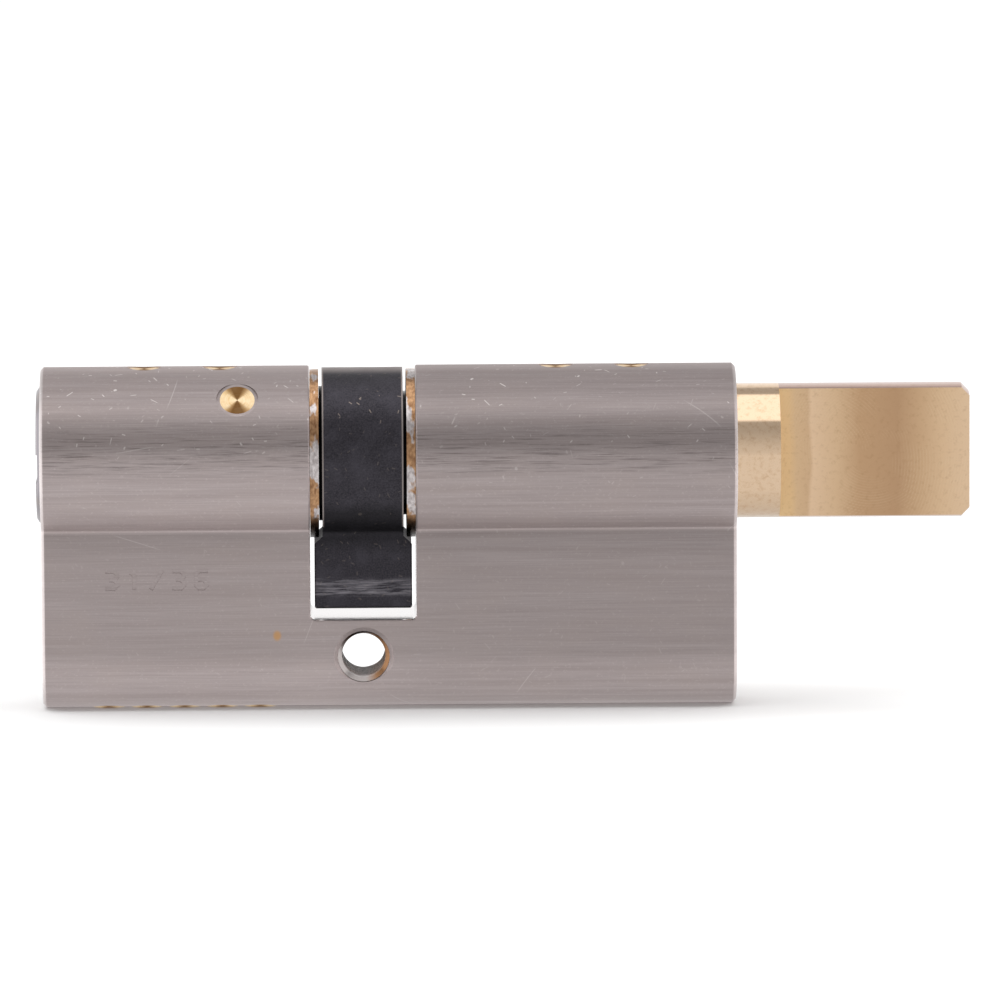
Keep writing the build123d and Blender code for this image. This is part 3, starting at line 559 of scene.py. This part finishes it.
def worn_plate():
    """Brown brass with islands of bright nickel plate left on it."""
    material, tree = new_material("stamped brass, nickel plate worn through")
    here = add(tree, "TexCoord", "Object")
    islands = add(tree, "Mapping", Vector=here, Location=(4.0, 1.0, 6.0), Scale=per_metre(1.6, 3.4, 3.4))
    islands = add(tree, "TexNoise", Vector=islands, Scale=1.0, Detail=3.0, Roughness=0.55)
    left = add(tree, "ValToRGB", Fac=islands, stops=[(0.50, 0.0), (0.545, 1.0)])
    fine = add(tree, "Mapping", Vector=here, Scale=per_metre(0.3, 0.5, 0.5))
    fine = add(tree, "TexNoise", Vector=fine, Scale=1.0, Detail=3.0, Roughness=0.6)
    share = add(tree, "ValToRGB", Fac=fine, stops=[(0.3, 0.0), (0.7, 1.0)])
    brown = add(tree, "Mix", 2, RGBA, in_0=share, in_6=linear("#8A6549"), in_7=linear("#CDA27A"))
    plate = add(tree, "Mix", 2, RGBA, in_0=share, in_6=linear("#A9A09F"), in_7=linear("#EAE3E2"))
    colour = add(tree, "Mix", 2, RGBA, in_0=left, in_6=brown, in_7=plate)
    # Painted shade: the foot of each ring is painted nearly black, where it faces down into the slot.
    height = height_above_axis(tree)
    ring_span_mm = 20
    upward = add(tree, "Math", 0, "MULTIPLY_ADD", in_0=height, in_1=1 / ring_span_mm, in_2=0.5)
    painted_foot_shade = add(tree, "ValToRGB", Fac=upward, stops=[(0.13, 0.05), (0.18, 0.25), (0.24, 1.0)])
    colour = add(tree, "Mix", 2, TIMES, in_0=1.0, in_6=colour, in_7=painted_foot_shade)
    relief = add(tree, "Math", 0, "MULTIPLY_ADD", in_0=fine, in_1=0.5, in_2=left)
    relief = add(tree, "Bump", Height=relief, Strength=0.4, Distance=0.00003)
    metal = add(tree, "BsdfPrincipled", Base_Color=colour, Metallic=1.0, Roughness=0.3, Normal=relief)
    add(tree, "OutputMaterial", None, Surface=metal)
    return material


dress(worn_plate(), "worn_plate", "plug_clip", "spindle_clip")

# ---- cam ----
# Sintered steel, steam blackened and oiled: a blue black skin with a fine grain, dusty light specks on
# top of the ring, and a grey rub across the lug near its tip.


def blackened_steel():
    """Black oxide on sintered steel: dark, grainy, half dull, and rubbed grey where it met the bolt."""
    material, tree = new_material("sintered steel, steam blackened")
    here = add(tree, "TexCoord", "Object")
    fine = add(tree, "TexNoise", Vector=here, Scale=1000 / 0.16, Detail=3.0, Roughness=0.7)
    cloud = add(tree, "TexNoise", Vector=here, Scale=1000 / 2.2, Detail=4.0, Roughness=0.6)
    share = add(tree, "ValToRGB", Fac=fine, stops=[(0.3, 0.0), (0.7, 1.0)])
    colour = add(tree, "Mix", 2, RGBA, in_0=share, in_6=linear("#26242A"), in_7=linear("#454248"))
    share = add(tree, "ValToRGB", Fac=cloud, stops=[(0.45, 0.0), (0.75, 0.5)])
    colour = add(tree, "Mix", 2, RGBA, in_0=share, in_6=colour, in_7=linear("#504D55"))

    # The rub lies 12 to 13.5 mm under the axis, on a span of 30 mm that starts 16.5 mm under it.
    height = height_above_axis(tree)
    cam_span_mm = 30
    cam_foot_mm = 16.5
    upward = add(tree, "Math", 0, "MULTIPLY_ADD", in_0=height, in_1=1 / cam_span_mm,
                 in_2=cam_foot_mm / cam_span_mm)
    worn = add(tree, "ValToRGB", Fac=upward, stops=[(0.098, 0.0), (0.112, 0.9), (0.145, 0.8), (0.165, 0.0)])
    patchy = add(tree, "Mapping", Vector=here, Scale=per_metre(2.4, 1.5, 0.2))
    patchy = add(tree, "TexNoise", Vector=patchy, Scale=1.0, Detail=4.0, Roughness=0.65)
    patchy = add(tree, "ValToRGB", Fac=patchy, stops=[(0.40, 0.0), (0.66, 1.0)])
    worn = add(tree, "Math", 0, "MULTIPLY", in_0=worn, in_1=patchy)
    colour = add(tree, "Mix", 2, RGBA, in_0=worn, in_6=colour, in_7=linear("#8B878D"))

    # Painted shadow darkens the hollow under the ring, and the ring's very top is lighter.
    painted_shadow_under_ring = add(tree, "ValToRGB", Fac=upward, stops=[(0.24, 1.0), (0.29, 0.5), (0.38, 0.42), (0.42, 1.0)])
    colour = add(tree, "Mix", 2, TIMES, in_0=1.0, in_6=colour, in_7=painted_shadow_under_ring)
    top = add(tree, "ValToRGB", Fac=upward, stops=[(0.815, 0.0), (0.826, 1.0)])
    colour = add(tree, "Mix", 2, RGBA, in_0=top, in_6=colour, in_7=linear("#827775"))
    # Painted highlights: the ring's two edges are painted light grey.
    x = add(tree, "SeparateXYZ", 0, Vector=here)
    off_centre = add(tree, "Math", 0, "SUBTRACT", in_0=x, in_1=(cam_low.x + cam_high.x) / 2)
    off_centre = add(tree, "Math", 0, "ABSOLUTE", in_0=off_centre)
    edge_middle = 0.00382
    edge_half = 0.00007
    from_edge = add(tree, "Math", 0, "COMPARE", in_0=off_centre, in_1=edge_middle, in_2=edge_half)
    on_ring = add(tree, "Math", 0, "GREATER_THAN", in_0=upward, in_1=0.33)
    cam_edge_highlights = add(tree, "Math", 0, "MULTIPLY", in_0=from_edge, in_1=on_ring)
    colour = add(tree, "Mix", 2, RGBA, in_0=cam_edge_highlights, in_6=colour, in_7=linear("#8C8380"))

    crown = add(tree, "ValToRGB", Fac=upward, stops=[(0.66, 0.12), (0.73, 0.67), (0.80, 0.2)])
    specks = scratches(tree, 0.8, 0.45, 0.09, 0.5, (0.9, 0.2, 0.5))
    specks = add(tree, "Math", 0, "MULTIPLY", in_0=specks, in_1=crown)
    colour = add(tree, "Mix", 2, RGBA, in_0=specks, in_6=colour, in_7=linear("#A89A90"))
    gloss = add(tree, "ValToRGB", Fac=cloud, stops=[(0.3, 0.36), (0.7, 0.48)])
    relief = add(tree, "Bump", Height=fine, Strength=0.4, Distance=0.00002)
    metal = add(tree, "BsdfPrincipled", Base_Color=colour, Metallic=0.8, Roughness=gloss, Normal=relief)
    add(tree, "OutputMaterial", None, Surface=metal)
    return material


dress(blackened_steel(), "black_steel", "cam")

# ---- clutch and pins ----
# The works inside: couplers, check pins and driver pins of bright turned steel, and key pins of yellow
# brass. They show only down the keyway and when the cylinder is taken apart.


def small_part_metal(name, dark, light, roughness, line_mm):
    """A small turned or drawn piece: cutter lines of one spacing and a slight stain."""
    material, tree = new_material(name)
    here = add(tree, "TexCoord", "Object")
    lines = add(tree, "TexNoise", Vector=here, Scale=1000 / line_mm, Detail=3.0, Roughness=0.6)
    share = add(tree, "ValToRGB", Fac=lines, stops=[(0.3, 0.0), (0.7, 1.0)])
    colour = add(tree, "Mix", 2, RGBA, in_0=share, in_6=linear(dark), in_7=linear(light))
    stain = add(tree, "TexNoise", Vector=here, Scale=1000 / 2.5, Detail=3.0)
    stain = add(tree, "ValToRGB", Fac=stain, stops=[(0.5, 0.0), (0.8, 0.3)])
    colour = add(tree, "Mix", 2, RGBA, in_0=stain, in_6=colour, in_7=linear(dark))
    relief = add(tree, "Bump", Height=lines, Strength=0.25, Distance=0.00001)
    metal = add(tree, "BsdfPrincipled", Base_Color=colour, Metallic=1.0, Roughness=roughness, Normal=relief)
    add(tree, "OutputMaterial", None, Surface=metal)
    return material


steel = small_part_metal("turned steel, bright", "#8E8C8C", "#C4C2C0", 0.25, 0.12)
pin_brass = small_part_metal("turned brass, pins", "#B8904E", "#E0BE80", 0.24, 0.12)
for name in sorted(cad):
    if name.startswith("key_pin"):
        dress(pin_brass, "pin_brass", name)
    elif name.startswith(("driver_pin", "check_pin", "side_check_pin", "key_coupler", "turn_coupler")):
        dress(steel, "bright_steel", name)

# ---- springs ----
# Open coils of drawn steel wire: one in each chamber, between its closing plug and its driver pin, and
# one behind the clutch.

wire = small_part_metal("drawn spring wire", "#77777A", "#A8A8AA", 0.3, 0.2)
sections_per_turn = 36
sides_of_wire = 12


def coil_spring(name, mean_radius, wire_radius, turns, axis):
    """A round wire along a helix, as long as the CAD spring's box: the wire's middle is the mean radius
    times cosine and sine of the turn, and climbs at one rate. Each section is a circle in the plane of
    the outward direction and of the one square to it and to the path."""
    low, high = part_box(name)
    length = (high - low).dot(axis) - 2 * wire_radius
    climb = np.linspace(0.0, 1.0, turns * sections_per_turn + 1)
    turn = 2 * math.pi * turns * climb
    outward = np.stack([np.cos(turn), np.sin(turn), 0 * turn], axis=1)
    path = outward * mean_radius + np.outer(length * (climb - 0.5), [0.0, 0.0, 1.0])
    rate = np.stack([-mean_radius * np.sin(turn), mean_radius * np.cos(turn),
                     np.full_like(turn, length / (2 * math.pi * turns))], axis=1)
    rate = rate / np.linalg.norm(rate, axis=1, keepdims=True)
    beside = np.cross(rate, outward)
    round_wire = np.linspace(0.0, 2 * math.pi, sides_of_wire, endpoint=False)
    ring = (np.cos(round_wire)[None, :, None] * outward[:, None, :]
            + np.sin(round_wire)[None, :, None] * beside[:, None, :])
    points = (path[:, None, :] + wire_radius * ring).reshape(-1, 3)
    index = np.arange(len(points)).reshape(len(climb), -1)
    onward = np.roll(index, -1, axis=1)
    sides = np.stack([index[:-1], onward[:-1], onward[1:], index[1:]], axis=2).reshape(-1, 4)
    ends = [index[0, ::-1].tolist(), index[-1].tolist()]
    mesh = bpy.data.meshes.new("wound_" + name)
    mesh.from_pydata(points.tolist(), [], sides.tolist() + ends)
    mesh.transform(Vector((0.0, 0.0, 1.0)).rotation_difference(axis).to_matrix().to_4x4())
    mesh.transform(Matrix.Translation((low + high) / 2))
    mesh.polygons.foreach_set("use_smooth", [True] * len(sides) + [False] * 2)
    mesh.materials.append(wire)
    spring = bpy.data.objects.new("wound_" + name, mesh)
    bpy.context.scene.collection.objects.link(spring)
    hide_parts(name)
    return spring, low, high


for name in sorted(cad):
    if "spring" in name:
        dress(wire, "spring_steel", name)

upwards = Vector((0.0, 0.0, 1.0))
for number in range(1, 6):
    spring, low, high = coil_spring(f"driver_spring_{number}", 0.00115, 0.00014, 9, upwards)
    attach(spring, "housing")
    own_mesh(spring)
along_bar = Vector((1.0, 0.0, 0.0))
spring, low, high = coil_spring("clutch_spring", 0.0025, 0.00025, 6, along_bar)
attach(spring, "spindle")
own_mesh(spring)

# ---- studio ----
# White paper under the cylinder, a long softbox overhead, a white wall behind and the darker room in
# front. The room is painted on the world by the angle round the barrel, with a light panel at each end.

floor_half = 2.0
floor_gap = 0.00002
floor_z = cad_box[0][2] - floor_gap
floor_mesh = bpy.data.meshes.new("studio_floor")
floor_corners = [(-floor_half, -floor_half, floor_z), (floor_half, -floor_half, floor_z),
                 (floor_half, floor_half, floor_z), (-floor_half, floor_half, floor_z)]
floor_mesh.from_pydata(floor_corners, [], [(0, 1, 2, 3)])
floor = bpy.data.objects.new("studio_floor", floor_mesh)
bpy.context.scene.collection.objects.link(floor)
paper, paper_tree = new_material("white paper")
sheet = add(paper_tree, "BsdfPrincipled", Base_Color=(0.92, 0.92, 0.92, 1.0), Roughness=0.9)
add(paper_tree, "OutputMaterial", None, Surface=sheet)
floor_mesh.materials.append(paper)
floor.visible_glossy = False

world = bpy.data.worlds.new("studio")
bpy.context.scene.world = world
world.use_nodes = True
sky = world.node_tree
sky.nodes.clear()
direction = add(sky, "SeparateXYZ", None, Vector=add(sky, "TexCoord", "Generated"))
to_front = add(sky, "Math", 0, "MULTIPLY", in_0=direction.outputs[1], in_1=-1.0)
round_barrel = add(sky, "Math", 0, "ARCTAN2", in_0=direction.outputs[2], in_1=to_front)
share_of_turn = add(sky, "Math", 0, "MULTIPLY_ADD", in_0=round_barrel, in_1=1 / (2 * math.pi), in_2=0.5)
# Brightness by angle in degrees from the front horizon, up over the top to the back.
room_light = [(-180, 0.80), (-150, 0.95), (-110, 0.95), (-75, 0.86), (-40, 0.84), (-10, 0.78), (-3, 0.78),
              (2, 0.68), (16, 0.60), (26, 0.52), (40, 0.43), (56, 0.43), (60, 1.30), (116, 1.30), (120, 0.43),
              (140, 0.43), (147, 0.85), (160, 1.0), (180, 1.0)]
room_stops = [(angle / 360 + 0.5, light) for angle, light in room_light]
room = add(sky, "ValToRGB", Fac=share_of_turn, stops=room_stops)
sideways = add(sky, "Math", 0, "ABSOLUTE", in_0=direction.outputs[0])
panels = add(sky, "ValToRGB", Fac=sideways, stops=[(0.72, 0.0), (0.80, 1.0)])
room = add(sky, "Mix", 2, RGBA, in_0=panels, in_6=room, in_7=(1.5, 1.5, 1.5, 1.0))
seen = add(sky, "LightPath", "Is Camera Ray")
room = add(sky, "Mix", 2, RGBA, in_0=seen, in_6=room, in_7=(1.0, 1.0, 1.0, 1.0))
add(sky, "OutputWorld", None, Surface=add(sky, "Background", Color=room, Strength=1.0))

softbox_data = bpy.data.lights.new("softbox", "AREA")
softbox_data.shape = "RECTANGLE"
softbox_data.size = 1.6
softbox_data.size_y = 1.2
softbox_data.energy = 9.0
softbox = bpy.data.objects.new("softbox", softbox_data)
softbox.location = (0.0, -0.1, 1.4)
softbox.visible_glossy = False
bpy.context.scene.collection.objects.link(softbox)
